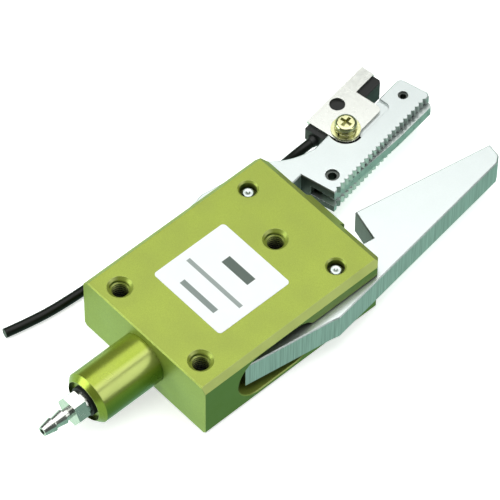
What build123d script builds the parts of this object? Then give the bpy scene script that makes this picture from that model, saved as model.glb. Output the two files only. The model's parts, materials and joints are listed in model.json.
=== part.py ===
from build123d import *
from math import cos, radians, sin, tan
import os

# Pneumatic sprue gripper, single acting, with a detection switch on the left jaw.
# Millimetres. X = 0 is the plane of symmetry, +Y points out of the jaws, +Z is up.
# The origin is the centre of the housing's bottom face. The jaws are drawn open.

# ---------- driving dimensions ----------
BODY_W = 44.0            # housing across X
BODY_L = 60.0            # housing along Y
BODY_T = 18.0            # housing height
MID_Z = BODY_T / 2       # plane of the levers and of the cylinder axis
CORNER_CHAMFER = 4.0     # upright front corners
FRONT_CHAMFER = 3.6      # front edges, top and bottom
SIDE_CHAMFER = 1.5       # long top edges
BASE_CHAMFER = 0.8       # long bottom edges

WINDOW_H = 14.2          # side windows, round ends
WINDOW_REAR_Y = -19.2
WINDOW_FRONT_Y = 6.0
WINDOW_DEPTH = 6.0
WINDOW_BEVEL = 0.25
CHAMBER_H = 10.0         # chamber that joins the two windows
CHAMBER_REAR_Y = -19.5
CHAMBER_FRONT_Y = 4.6
SLOT_H = 8.8             # lever slots ahead of the window
DIVIDER_W = 12.0         # solid web between the lever slots
MOUTH_Y = 27.6           # the slots open up in height ahead of this line
MOUTH_WALL = 2.0
REAR_BEVEL = 0.3         # rear top edge
SPRING_BORE_R = 1.9      # opening spring's bore through the divider

THREAD_R = 2.5           # M5, major radius
THREAD_SINK_R = 3.25
REAR_HOLE_X = 14.5
REAR_HOLE_Y = -24.8
FRONT_HOLE_Y = 12.6

PIVOT_X = 15.75
PIVOT_Y = 18.0
PIN_R = 1.5
PIN_RECESS = 1.3         # pin ends below the faces
PIN_COUNTERBORE_R = 2.2
PIN_COUNTERBORE = 2.6
PIN_BEVEL = 0.25
PIN_SINK_R = 2.65
OPEN_ANGLE = 9.0         # each jaw, open against closed

LEVER_T = 8.0
LEVER_BEVEL = 0.3
ARM_OUTER = 10.1         # outer side of the rear arm, from the pivot
ARM_INNER = -1.0
ARM_REAR = -32.7
KINK = (10.3, -5.6)      # corner of the outer side
NECK_INNER = -5.1
NECK_Y = 6.2             # opening spring's seat on the neck
SHOULDER_Y = 14.5        # rear of the jaw at the neck
JAW_REAR_Y = 15.3        # rear of the jaw at the gripping face
NOSE = (-6.5, -22.0)     # centre of the cam nose on the rear arm
NOSE_R = 2.5
NOSE_RISE = 6.0          # length of the neck's slope into the nose
ARM_EASE = 2.0           # length of the slopes behind the nose and the kink
GRIP_REAR = -14.0        # plain gripping face of the right jaw, rear and front
GRIP_FRONT = -13.2
TIP_Y = 54.9
TIP_SIDE = [(-7.5, 53.3), (-9.2, TIP_Y)]
TIP_FILLET = 1.0
BUSH_R = 2.5
BUSH_BORE_R = 1.55

CAM_ANGLE = 25.0         # cam flank against the Y axis
CAM_GAP = 0.25           # running gap between cam and noses
CAM_REAR_Y = -12.5
CAM_TIP_Y = -3.0
CAM_H = 6.0
CAM_PIN_Y = CAM_REAR_Y + 2.8
CAM_PIN_R = 0.75
SPIGOT_DEPTH = 5.5

TUBE_R = 7.0
TUBE_BORE_R = 6.0
TUBE_REAR_Y = -49.3
TUBE_SEAT_Y = -26.0      # bottom of the housing's cylinder seat
TUBE_FLOOR_Y = -45.8
TUBE_CHAMFER = 1.5
REAR_RECESS_R = 5.5
REAR_RECESS = 1.0
FITTING_THREAD_R = 2.5

PISTON_R = 5.92
PISTON_REAR_Y = -45.3
PISTON_FRONT_Y = -39.3
ROD_R = 2.5
ROD_SPIGOT_R = 1.5
BUSHING_R = 4.0

POCKET_DEPTH = 0.8       # bracket's pocket in the left jaw
BRACKET_T = 0.8
SCREW_AT = (4.9, 32.7)   # bracket screw, in the left jaw's own axes
SCREW_R = 1.5
CABLE_D = 2.5

LABEL_W = 24.0
LABEL_L = 22.9
LABEL_Y = -4.95
LABEL_T = 0.1

os.makedirs("parts", exist_ok=True)

lever_bottom = MID_Z - LEVER_T / 2
lever_top = MID_Z + LEVER_T / 2
cam_bottom = MID_Z - CAM_H / 2
body_rear = -BODY_L / 2
body_front = BODY_L / 2
body_side = BODY_W / 2


def save(builder, name):
    builder.part.label = name
    export_step(builder.part, f"parts/{name}.step")


def left_plane(height):
    """Left lever's axes: +x towards the other jaw, +y towards the jaw's tip."""
    turn = radians(OPEN_ANGLE)
    return Plane(origin=(-PIVOT_X, PIVOT_Y, height), x_dir=(cos(turn), sin(turn), 0), z_dir=(0, 0, 1))


def right_plane(height):
    """Right lever's axes: +x away from the other jaw, +y towards the jaw's tip."""
    turn = radians(OPEN_ANGLE)
    return Plane(origin=(PIVOT_X, PIVOT_Y, height), x_dir=(cos(turn), -sin(turn), 0), z_dir=(0, 0, 1))


def left_side_plane(x, y, height):
    """Upright plane in the left lever, its normal towards the other jaw."""
    turn = radians(OPEN_ANGLE)
    across = Vector(cos(turn), sin(turn), 0)
    along = Vector(-sin(turn), cos(turn), 0)
    corner = Vector(-PIVOT_X, PIVOT_Y, height) + across * x + along * y
    return Plane(origin=corner, x_dir=along, z_dir=across)


def rear_plane(y):
    """Plane across the cylinder axis whose normal points to the rear."""
    return Plane(origin=(0, y, MID_Z), x_dir=(1, 0, 0), z_dir=(0, -1, 0))


# ---------- housing ----------
def housing_plan():
    Polygon(
        (-body_side, body_rear),
        (body_side, body_rear),
        (body_side, body_front - CORNER_CHAMFER),
        (body_side - CORNER_CHAMFER, body_front),
        (-body_side + CORNER_CHAMFER, body_front),
        (-body_side, body_front - CORNER_CHAMFER),
        align=None,
    )


def housing_side_profile():
    Polygon(
        (body_rear, 0),
        (body_front - FRONT_CHAMFER, 0),
        (body_front, FRONT_CHAMFER),
        (body_front, BODY_T - FRONT_CHAMFER),
        (body_front - FRONT_CHAMFER, BODY_T),
        (body_rear, BODY_T),
        align=None,
    )


window_centre = (WINDOW_REAR_Y + WINDOW_FRONT_Y) / 2
window_length = WINDOW_FRONT_Y - WINDOW_REAR_Y
chamber_centre = (CHAMBER_REAR_Y + CHAMBER_FRONT_Y) / 2
slot_width = body_side - DIVIDER_W / 2
slot_centre_x = (body_side + DIVIDER_W / 2) / 2
mouth_centre_y = (body_front + MOUTH_Y) / 2

with BuildPart() as housing:
    with BuildSketch(Plane.XY):
        housing_plan()
    extrude(amount=BODY_T)
    with BuildSketch(Plane.YZ.offset(-body_side)):
        housing_side_profile()
    extrude(amount=BODY_W, mode=Mode.INTERSECT)
    long_edges = housing.edges().filter_by(Axis.Y).filter_by(lambda e: abs(e.center().X) > body_side - 0.01)
    chamfer(long_edges.filter_by(lambda e: e.center().Z > MID_Z), SIDE_CHAMFER)
    chamfer(long_edges.filter_by(lambda e: e.center().Z < MID_Z), BASE_CHAMFER)
    rear_edges = housing.edges().filter_by(Axis.X).filter_by(lambda e: abs(e.center().Y - body_rear) < 0.01)
    chamfer(rear_edges.sort_by(Axis.Z)[-1], REAR_BEVEL)
    for side in (-1, 1):
        with BuildSketch(Plane.YZ.offset(side * body_side)):
            with Locations((window_centre, MID_Z)):
                SlotOverall(window_length, WINDOW_H)
        extrude(amount=-side * WINDOW_DEPTH, mode=Mode.SUBTRACT)
    rims = housing.edges().filter_by(
        lambda e: abs(abs(e.center().X) - body_side) < 0.01
        and abs(e.center().Y - window_centre) < window_length / 2 + 0.01
        and abs(e.center().Z - MID_Z) < WINDOW_H / 2 + 0.01
    )
    chamfer(rims, WINDOW_BEVEL)
    with BuildSketch(Plane.YZ.offset(-body_side)):
        with Locations((chamber_centre, MID_Z)):
            SlotOverall(CHAMBER_FRONT_Y - CHAMBER_REAR_Y, CHAMBER_H)
    extrude(amount=BODY_W, mode=Mode.SUBTRACT)
    # lever slots, and their taller mouths at the front
    with BuildSketch(Plane.XY.offset(MID_Z - SLOT_H / 2)):
        with Locations((-slot_centre_x, body_front / 2), (slot_centre_x, body_front / 2)):
            Rectangle(slot_width, BODY_L / 2)
    extrude(amount=SLOT_H, mode=Mode.SUBTRACT)
    with BuildSketch(Plane.XY.offset(MOUTH_WALL)):
        with Locations((-slot_centre_x, mouth_centre_y), (slot_centre_x, mouth_centre_y)):
            Rectangle(slot_width, body_front - MOUTH_Y)
    extrude(amount=BODY_T - 2 * MOUTH_WALL, mode=Mode.SUBTRACT)
    # cylinder seat and bushing bore through the rear wall
    with BuildSketch(rear_plane(TUBE_SEAT_Y)):
        Circle(TUBE_R)
    extrude(amount=TUBE_SEAT_Y - body_rear, mode=Mode.SUBTRACT)
    with BuildSketch(rear_plane(CHAMBER_REAR_Y + BUSHING_R)):
        Circle(BUSHING_R)
    extrude(amount=CHAMBER_REAR_Y + BUSHING_R - TUBE_SEAT_Y, mode=Mode.SUBTRACT)
    # opening spring's cross bore in the divider
    with BuildSketch(Plane.YZ.offset(-DIVIDER_W)):
        with Locations((PIVOT_Y + NECK_Y, MID_Z)):
            Circle(SPRING_BORE_R)
    extrude(amount=2 * DIVIDER_W, mode=Mode.SUBTRACT)
    # tapped holes, sunk at both faces
    tapped = [(-REAR_HOLE_X, REAR_HOLE_Y), (REAR_HOLE_X, REAR_HOLE_Y), (0, FRONT_HOLE_Y)]
    with Locations(*[Location((x, y, BODY_T)) for x, y in tapped]):
        CounterSinkHole(THREAD_R, THREAD_SINK_R, counter_sink_angle=90)
    with Locations(*[Location((x, y, 0), (180, 0, 0)) for x, y in tapped]):
        CounterSinkHole(THREAD_R, THREAD_SINK_R, counter_sink_angle=90)
    # pivot pin holes, counterbored and sunk at both faces
    pivots = [(-PIVOT_X, PIVOT_Y), (PIVOT_X, PIVOT_Y)]
    with Locations(*[Location((x, y, BODY_T)) for x, y in pivots]):
        CounterBoreHole(PIN_R, PIN_COUNTERBORE_R, PIN_COUNTERBORE)
    with Locations(*[Location((x, y, 0), (180, 0, 0)) for x, y in pivots]):
        CounterBoreHole(PIN_R, PIN_COUNTERBORE_R, PIN_COUNTERBORE)
    mouths = housing.edges().filter_by(GeomType.CIRCLE).filter_by(
        lambda e: abs(e.radius - PIN_COUNTERBORE_R) < 0.01 and min(e.center().Z, BODY_T - e.center().Z) < 0.01
    )
    chamfer(mouths, PIN_SINK_R - PIN_COUNTERBORE_R)
save(housing, "housing")

with BuildPart() as label:
    with BuildSketch(Plane.XY.offset(BODY_T)):
        with Locations((0, LABEL_Y)):
            RectangleRounded(LABEL_W, LABEL_L, 1.0)
    extrude(amount=LABEL_T)
save(label, "label")

# ---------- pivots ----------
pin_length = BODY_T - 2 * PIN_RECESS
for side, name in ((-1, "left"), (1, "right")):
    with BuildPart() as pivot_pin:
        with BuildSketch(Plane.XY.offset(PIN_RECESS)):
            with Locations((side * PIVOT_X, PIVOT_Y)):
                Circle(PIN_R)
        extrude(amount=pin_length)
        chamfer(pivot_pin.edges().filter_by(GeomType.CIRCLE), PIN_BEVEL)
    save(pivot_pin, f"{name}_pivot_pin")
    with BuildPart() as pivot_bush:
        with BuildSketch(Plane.XY.offset(lever_bottom)):
            with Locations((side * PIVOT_X, PIVOT_Y)):
                Circle(BUSH_R)
                Circle(BUSH_BORE_R, mode=Mode.SUBTRACT)
        extrude(amount=LEVER_T)
    save(pivot_bush, f"{name}_pivot_bush")

THRUST_R = 4.0
washer_gap = 0.03
washer_t = (SLOT_H - LEVER_T) / 2 - 2 * washer_gap
with BuildPart() as thrust_washers:
    for height in (MID_Z - SLOT_H / 2 + washer_gap, lever_top + washer_gap):
        with BuildSketch(Plane.XY.offset(height)):
            with Locations((-PIVOT_X, PIVOT_Y), (PIVOT_X, PIVOT_Y)):
                Circle(THRUST_R)
                Circle(BUSH_BORE_R, mode=Mode.SUBTRACT)
        extrude(amount=washer_t)
save(thrust_washers, "thrust_washers")


# ---------- levers with jaws ----------
def rear_arm(outward):
    """Arm outline from the shoulder down the neck and round the rear to the kink.

    outward is 1 where +x leads away from the other jaw, -1 where it leads to it."""
    nose_x, nose_y = NOSE
    inner = [
        (outward * NECK_INNER, SHOULDER_Y),
        (outward * NECK_INNER, nose_y + NOSE_RISE),
        (outward * nose_x, nose_y + NOSE_R),
    ]
    Polyline(*inner)
    ThreePointArc(inner[-1], (outward * (nose_x - NOSE_R), nose_y), (outward * nose_x, nose_y - NOSE_R))
    Polyline(
        (outward * nose_x, nose_y - NOSE_R),
        (outward * ARM_INNER, nose_y - NOSE_R - ARM_EASE),
        (outward * ARM_INNER, ARM_REAR),
        (outward * ARM_OUTER, ARM_REAR),
        (outward * ARM_OUTER, KINK[1] - ARM_EASE),
        (outward * KINK[0], KINK[1]),
    )


with BuildPart() as right_jaw:
    with BuildSketch(right_plane(lever_bottom)):
        with BuildLine():
            rear_arm(1)
            Polyline(
                KINK,
                *TIP_SIDE,
                (GRIP_FRONT, TIP_Y),
                (GRIP_REAR, JAW_REAR_Y),
                (NECK_INNER, SHOULDER_Y),
            )
        make_face()
    extrude(amount=LEVER_T)
    with BuildSketch(right_plane(lever_bottom)):
        Circle(BUSH_R)
    extrude(amount=LEVER_T, mode=Mode.SUBTRACT)
    for corner in TIP_SIDE:
        at = right_plane(MID_Z).from_local_coords(Vector(*corner, 0))
        fillet(right_jaw.edges().filter_by(Axis.Z).sort_by_distance(at)[0], TIP_FILLET)
    faces = right_jaw.faces().filter_by(Axis.Z).sort_by(Axis.Z)
    chamfer(faces[0].outer_wire().edges() + faces[-1].outer_wire().edges(), LEVER_BEVEL)
save(right_jaw, "right_jaw")

TOOTH_TIP_REAR = 15.0    # tooth tips, rear and front of the gripping face
TOOTH_TIP_FRONT = 14.65
TOOTH_DEPTH = 0.85
TOOTH_PITCH = 1.6
TEETH = 23
FIRST_TOOTH_Y = 16.3
JAW_END_OUTER_Y = 54.0   # the front end leans a little
JAW_END_INNER_Y = 54.8
JAW_END_CORNER = (13.5, 0.8)
FINGER_OUTER = 5.4       # outer side of the slim front end
FINGER_FILLET = 1.3
SADDLE_OUTER = 2.55      # outer side beside the switch
SADDLE_Y = (23.0, 43.0)
HOLLOW_FROM = (-4.8, 12.3)
HOLLOW_THROUGH = (-0.4, 16.6)
HOLLOW_TO = (2.1, 21.8)
PLATE_SLOT_H = 3.2
PLATE_SLOT_X = 8.0       # bottom of the plate's slot, and of its front stretch
FINGER_SLOT_X = 6.1
FINGER_SLOT_Y = 45.5
SENSE_X = (1.5, 8.5)     # window through which the switch senses the plate
SENSE_Y = (38.8, 42.4)
SPRING_SEAT = (4.8, 26.5)
SPRING_HOLE_R = 1.3
PIVOT_ROLL_AT = (11.1, 19.4)
PIVOT_ROLL_R = 1.8
STOP_ROLL_AT = (9.4, 50.2)
STOP_ROLL_R = 1.3
POCKET_SIDE = 9.3
POCKET_Y = (31.0, 45.7)
POCKET_CORNER_R = 1.8
RELIEF_R = 4.6           # crescent relief round the bracket's lobe
LOBE_R = 3.7
RELIEF_DEPTH = 2.2
RELIEF_END_Y = 33.6
SCREW_HOLE_FLOOR = 0.5


def tooth_tip(y):
    """Gripping face of the left jaw at a distance along it."""
    share = (y - JAW_REAR_Y) / (JAW_END_INNER_Y - JAW_REAR_Y)
    return TOOTH_TIP_REAR + (TOOTH_TIP_FRONT - TOOTH_TIP_REAR) * share


corner_x, corner_drop = JAW_END_CORNER
corner_y = JAW_END_INNER_Y - corner_drop

with BuildPart() as left_jaw:
    with BuildSketch(left_plane(lever_bottom)):
        with BuildLine():
            rear_arm(-1)
            Polyline((-KINK[0], KINK[1]), HOLLOW_FROM)
            ThreePointArc(HOLLOW_FROM, HOLLOW_THROUGH, HOLLOW_TO)
            Polyline(
                HOLLOW_TO,
                (SADDLE_OUTER, SADDLE_Y[0]),
                (SADDLE_OUTER, SADDLE_Y[1]),
                (FINGER_OUTER, SADDLE_Y[1]),
                (FINGER_OUTER, JAW_END_OUTER_Y),
                (corner_x, JAW_END_INNER_Y),
                (tooth_tip(corner_y), corner_y),
                (TOOTH_TIP_REAR, JAW_REAR_Y),
                (-NECK_INNER, SHOULDER_Y),
            )
        make_face()
    extrude(amount=LEVER_T)
    finger_corner = left_plane(MID_Z).from_local_coords(Vector(FINGER_OUTER, JAW_END_OUTER_Y, 0))
    fillet(left_jaw.edges().filter_by(Axis.Z).sort_by_distance(finger_corner)[0], FINGER_FILLET)
    faces = left_jaw.faces().filter_by(Axis.Z).sort_by(Axis.Z)
    chamfer(faces[0].outer_wire().edges() + faces[-1].outer_wire().edges(), LEVER_BEVEL)
    # serration: upright V grooves in the gripping face
    with BuildSketch(left_plane(lever_bottom)):
        for tooth in range(TEETH):
            groove_y = FIRST_TOOTH_Y + tooth * TOOTH_PITCH
            groove_mid = groove_y + TOOTH_PITCH / 2
            groove_mouth = tooth_tip(groove_mid) + 0.1
            Polygon(
                (groove_mouth, groove_y),
                (tooth_tip(groove_mid) - TOOTH_DEPTH, groove_mid),
                (groove_mouth, groove_y + TOOTH_PITCH),
                align=None,
            )
    extrude(amount=LEVER_T, mode=Mode.SUBTRACT)
    # slot for the detection plate, open at the face and at both ends
    with BuildSketch(left_plane(MID_Z - PLATE_SLOT_H / 2)):
        with Locations((PLATE_SLOT_X, SHOULDER_Y - 2.0)):
            Rectangle(10.0, JAW_END_INNER_Y - SHOULDER_Y + 4.0, align=(Align.MIN, Align.MIN))
        with Locations((FINGER_SLOT_X, FINGER_SLOT_Y)):
            Rectangle(4.0, 10.0, align=(Align.MIN, Align.MIN))
        with Locations((SENSE_X[0], SENSE_Y[0])):
            Rectangle(SENSE_X[1] - SENSE_X[0], SENSE_Y[1] - SENSE_Y[0], align=(Align.MIN, Align.MIN))
    extrude(amount=PLATE_SLOT_H, mode=Mode.SUBTRACT)
    # blind hole of the detection spring
    with BuildSketch(left_side_plane(*SPRING_SEAT, MID_Z)):
        Circle(SPRING_HOLE_R)
    extrude(amount=PLATE_SLOT_X + 0.5 - SPRING_SEAT[0], mode=Mode.SUBTRACT)
    # shallow pocket under the bracket, and a relief round its lobe
    with BuildSketch(left_plane(lever_top - POCKET_DEPTH)):
        with Locations((0, (POCKET_Y[0] + POCKET_Y[1]) / 2)):
            RectangleRounded(2 * POCKET_SIDE, POCKET_Y[1] - POCKET_Y[0], POCKET_CORNER_R)
        with Locations(SCREW_AT):
            Circle(RELIEF_R)
    extrude(amount=POCKET_DEPTH, mode=Mode.SUBTRACT)
    with BuildSketch(left_plane(lever_top - RELIEF_DEPTH)):
        with Locations(SCREW_AT):
            Circle(RELIEF_R)
            Circle(LOBE_R, mode=Mode.SUBTRACT)
        with Locations((SCREW_AT[0], RELIEF_END_Y)):
            Rectangle(3 * RELIEF_R, 2 * RELIEF_R, align=(Align.CENTER, Align.MIN), mode=Mode.SUBTRACT)
    extrude(amount=RELIEF_DEPTH, mode=Mode.SUBTRACT)
    # bores: bush, roll pins, screw
    with BuildSketch(left_plane(lever_bottom)):
        Circle(BUSH_R)
        with Locations(PIVOT_ROLL_AT):
            Circle(PIVOT_ROLL_R)
        with Locations(STOP_ROLL_AT):
            Circle(STOP_ROLL_R)
    extrude(amount=LEVER_T, mode=Mode.SUBTRACT)
    with BuildSketch(left_plane(lever_bottom + SCREW_HOLE_FLOOR)):
        with Locations(SCREW_AT):
            Circle(SCREW_R)
    extrude(amount=LEVER_T, mode=Mode.SUBTRACT)
save(left_jaw, "left_jaw")

# ---------- detection plate in the left jaw ----------
PLATE_T = 3.0
PLATE_OUTER = [(14.1, 16.7), (15.8, 40.5), (15.95, 53.2), (15.2, 53.9)]
PLATE_STEP = [(7.4, 53.9), (7.4, 47.4), (9.4, 45.4)]
PLATE_INNER = 8.7
PLATE_REAR = [(PLATE_INNER, 22.0), (PLATE_INNER, 18.0), (10.0, 16.7)]
PLATE_SWING = 1.1        # the plate's travel at the stop pin
PLATE_PLAY = 0.15

with BuildPart() as detection_plate:
    with BuildSketch(left_plane(MID_Z - PLATE_T / 2)):
        with BuildLine():
            Polyline(*PLATE_OUTER, *PLATE_STEP, *PLATE_REAR, close=True)
        make_face()
        with Locations(PIVOT_ROLL_AT):
            Circle(PIVOT_ROLL_R + 0.05, mode=Mode.SUBTRACT)
        stop_slot_w = 2 * (STOP_ROLL_R + PLATE_PLAY)
        with Locations((STOP_ROLL_AT[0] + PLATE_SWING / 2, STOP_ROLL_AT[1])):
            SlotOverall(stop_slot_w + PLATE_SWING, stop_slot_w, mode=Mode.SUBTRACT)
    extrude(amount=PLATE_T)
save(detection_plate, "detection_plate")

ROLL_END_GAP = 0.5       # roll pins below the lever's faces
ROLL_SLIT = 0.4
for place, radius, wall, name in (
    (PIVOT_ROLL_AT, PIVOT_ROLL_R, 0.7, "detection_pivot_pin"),
    (STOP_ROLL_AT, STOP_ROLL_R, 0.5, "detection_stop_pin"),
):
    with BuildPart() as roll_pin:
        with BuildSketch(left_plane(lever_bottom + ROLL_END_GAP)):
            with Locations(place):
                Circle(radius)
                Circle(radius - wall, mode=Mode.SUBTRACT)
                with Locations((0, -radius)):
                    Rectangle(ROLL_SLIT, 3 * wall, mode=Mode.SUBTRACT)
        extrude(amount=LEVER_T - 2 * ROLL_END_GAP)
    save(roll_pin, name)

spring_base_x = SPRING_SEAT[0] + 0.1
with BuildPart() as detection_spring:
    with BuildSketch(left_side_plane(spring_base_x, SPRING_SEAT[1], MID_Z)):
        Circle(1.1)
        Circle(0.7, mode=Mode.SUBTRACT)
    extrude(amount=PLATE_INNER - spring_base_x)
save(detection_spring, "detection_spring")

# ---------- switch, bracket and its screw on the left jaw ----------
SENSOR_X = (-3.7, 2.2)
SENSOR_Y = (28.6, 50.8)
SENSOR_H = 6.3
SENSOR_CORNER = 0.6
TAIL_Y = 27.1            # rear end of the block that holds the lead
TAIL_H = 4.2
TAIL_X = -3.5
SENSOR_AXIS = (-0.9, 9.4)
COLLAR_Y = 26.0
COLLAR_R = (1.7, 1.4)

bracket_z = lever_top - POCKET_DEPTH
sensor_top = bracket_z - 0.02

with BuildPart() as sensor_body:
    with BuildSketch(left_plane(bracket_z - SENSOR_H)):
        Polygon(
            (SENSOR_X[0], SENSOR_Y[0]),
            (SENSOR_X[1], SENSOR_Y[0]),
            (SENSOR_X[1], SENSOR_Y[1] - SENSOR_CORNER),
            (SENSOR_X[1] - SENSOR_CORNER, SENSOR_Y[1]),
            (SENSOR_X[0], SENSOR_Y[1]),
            align=None,
        )
    extrude(amount=sensor_top - bracket_z + SENSOR_H)
    with BuildSketch(left_plane(bracket_z - TAIL_H)):
        with Locations((TAIL_X, TAIL_Y)):
            Rectangle(SENSOR_X[1] - TAIL_X, SENSOR_Y[0] - TAIL_Y, align=(Align.MIN, Align.MIN))
    extrude(amount=sensor_top - bracket_z + TAIL_H)
save(sensor_body, "sensor_body")

BRACKET_LEFT = -4.15
BRACKET_REAR = 28.6
BRACKET_FRONT = 50.9
BRACKET_SIDE = 8.0
BRACKET_NOTCH = (-0.35, 43.6)
BRACKET_CORNER_R = 1.6
BRACKET_LOBE_R = 4.0
BRACKET_WAIST_Y = 34.2   # where the lobe runs into the straight side
BRACKET_HOLE_AT = (-1.6, 37.6)
BRACKET_HOLE_R = 2.0

screw_x, screw_y = SCREW_AT
lobe_side = (screw_x + BRACKET_LOBE_R, screw_y)
lobe_middle = (screw_x + BRACKET_LOBE_R * cos(radians(45)), screw_y - BRACKET_LOBE_R * sin(radians(45)))
corner_start = (BRACKET_SIDE, BRACKET_NOTCH[1] - BRACKET_CORNER_R)
corner_end = (BRACKET_SIDE - BRACKET_CORNER_R, BRACKET_NOTCH[1])

with BuildPart() as sensor_bracket:
    with BuildSketch(left_plane(bracket_z)):
        with BuildLine():
            Polyline((BRACKET_LEFT, BRACKET_REAR), (screw_x, screw_y - BRACKET_LOBE_R))
            ThreePointArc((screw_x, screw_y - BRACKET_LOBE_R), lobe_middle, lobe_side)
            Polyline(lobe_side, (BRACKET_SIDE, BRACKET_WAIST_Y), corner_start)
            RadiusArc(corner_start, corner_end, -BRACKET_CORNER_R)
            Polyline(
                corner_end,
                BRACKET_NOTCH,
                (BRACKET_NOTCH[0], BRACKET_FRONT),
                (BRACKET_LEFT, BRACKET_FRONT),
                (BRACKET_LEFT, BRACKET_REAR),
            )
        make_face()
        with Locations(SCREW_AT):
            Circle(SCREW_R + 0.1, mode=Mode.SUBTRACT)
        with Locations(BRACKET_HOLE_AT):
            Circle(BRACKET_HOLE_R, mode=Mode.SUBTRACT)
    extrude(amount=BRACKET_T)
save(sensor_bracket, "sensor_bracket")

FLAT_WASHER_R = 3.75
FLAT_WASHER_T = 0.5
SPRING_WASHER_R = 2.85
SPRING_WASHER_T = 0.7
SCREW_HEAD_R = 2.8
SCREW_HEAD_H = 1.9
SCREW_TIP = 0.8          # shank end above the lever's lower face
head_z = bracket_z + BRACKET_T + FLAT_WASHER_T + SPRING_WASHER_T

with BuildPart() as flat_washer:
    with BuildSketch(left_plane(bracket_z + BRACKET_T)):
        with Locations(SCREW_AT):
            Circle(FLAT_WASHER_R)
            Circle(SCREW_R + 0.1, mode=Mode.SUBTRACT)
    extrude(amount=FLAT_WASHER_T)
save(flat_washer, "flat_washer")

with BuildPart() as spring_washer:
    with BuildSketch(left_plane(bracket_z + BRACKET_T + FLAT_WASHER_T)):
        with Locations(SCREW_AT):
            Circle(SPRING_WASHER_R)
            Circle(SCREW_R + 0.1, mode=Mode.SUBTRACT)
            with Locations((0, -SPRING_WASHER_R)):
                Rectangle(0.4, SPRING_WASHER_R, mode=Mode.SUBTRACT)
    extrude(amount=SPRING_WASHER_T)
save(spring_washer, "spring_washer")

with BuildPart() as bracket_screw:
    with BuildSketch(left_plane(lever_bottom + SCREW_TIP)):
        with Locations(SCREW_AT):
            Circle(SCREW_R)
    extrude(amount=head_z - lever_bottom - SCREW_TIP)
    with BuildSketch(left_plane(head_z)):
        with Locations(SCREW_AT):
            Circle(SCREW_HEAD_R)
    extrude(amount=SCREW_HEAD_H)
    fillet(bracket_screw.edges().filter_by(GeomType.CIRCLE).sort_by(Axis.Z)[-1], 0.9)
    # cross recess
    with BuildSketch(left_plane(head_z + SCREW_HEAD_H)):
        with Locations(SCREW_AT):
            Rectangle(3.2, 0.8)
            Rectangle(0.8, 3.2)
    extrude(amount=-1.5, mode=Mode.SUBTRACT)
save(bracket_screw, "bracket_screw")

# ---------- switch lead, lying along the housing's left side ----------
floor_z = CABLE_D / 2
turn_open = radians(OPEN_ANGLE)
lead_exit = left_plane(SENSOR_AXIS[1]).from_local_coords(Vector(SENSOR_AXIS[0], COLLAR_Y, 0))
route = [
    (lead_exit.X, lead_exit.Y, lead_exit.Z),
    (-20.9, 38.3, 8.8),
    (-24.0, 32.5, 1.6),
    (-26.0, 22.0, floor_z),
    (-27.8, 2.0, floor_z),
    (-28.6, -14.0, floor_z),
    (-29.1, -29.0, floor_z),
    (-30.1, -38.5, floor_z),
    (-32.1, -47.0, floor_z),
]


def route_radii(points):
    """Largest tangent arc that each corner's two runs allow."""
    radii = []
    for before, corner, after in zip(points, points[1:], points[2:]):
        first = Vector(*corner) - Vector(*before)
        second = Vector(*after) - Vector(*corner)
        half_turn = radians(first.get_angle(second)) / 2
        radii.append(0.45 * min(first.length, second.length) / tan(half_turn))
    return radii


start_direction = Vector(*route[1]) - Vector(*route[0])
cable_radii = route_radii(route)
print("cable radii", [round(r, 1) for r in cable_radii])
with BuildPart() as sensor_cable:
    with BuildLine() as cable_line:
        FilletPolyline(*route, radius=cable_radii)
    with BuildSketch(Plane(origin=route[0], z_dir=start_direction)):
        Circle(CABLE_D / 2)
    sweep(path=cable_line.wire())
print("cable length", round(cable_line.wire().length, 1))
save(sensor_cable, "sensor_cable")

with BuildPart() as sensor_relief:
    collar_base = left_plane(SENSOR_AXIS[1]).from_local_coords(Vector(SENSOR_AXIS[0], TAIL_Y, 0))
    with BuildSketch(Plane(origin=collar_base, z_dir=(sin(turn_open), -cos(turn_open), 0))):
        Circle(COLLAR_R[0])
    with BuildSketch(Plane(origin=route[0], z_dir=start_direction)):
        Circle(COLLAR_R[1])
    loft()
save(sensor_relief, "sensor_relief")


# ---------- cylinder, fitting and piston ----------
with BuildPart() as cylinder_tube:
    with BuildSketch(rear_plane(TUBE_SEAT_Y)):
        Circle(TUBE_R)
    extrude(amount=TUBE_SEAT_Y - TUBE_REAR_Y)
    chamfer(cylinder_tube.edges().filter_by(GeomType.CIRCLE).sort_by(Axis.Y)[0], TUBE_CHAMFER)
    with BuildSketch(rear_plane(TUBE_SEAT_Y)):
        Circle(TUBE_BORE_R)
    extrude(amount=TUBE_SEAT_Y - TUBE_FLOOR_Y, mode=Mode.SUBTRACT)
    with BuildSketch(rear_plane(TUBE_REAR_Y + REAR_RECESS)):
        Circle(REAR_RECESS_R)
    extrude(amount=REAR_RECESS, mode=Mode.SUBTRACT)
    with BuildSketch(rear_plane(TUBE_FLOOR_Y)):
        Circle(FITTING_THREAD_R)
    extrude(amount=TUBE_FLOOR_Y - TUBE_REAR_Y, mode=Mode.SUBTRACT)
save(cylinder_tube, "cylinder_tube")

GASKET_R = 4.0
GASKET_T = 1.2
gasket_y = TUBE_REAR_Y + REAR_RECESS
with BuildPart() as fitting_gasket:
    with BuildSketch(rear_plane(gasket_y)):
        Circle(GASKET_R)
        Circle(FITTING_THREAD_R, mode=Mode.SUBTRACT)
    extrude(amount=GASKET_T)
save(fitting_gasket, "fitting_gasket")

HEX_AF = 7.0
COLLAR_L = 1.0           # round shoulder ahead of the hexagon
HEX_L = 3.4
STEM_L = 12.8
AIR_BORE_R = 0.8
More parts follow.
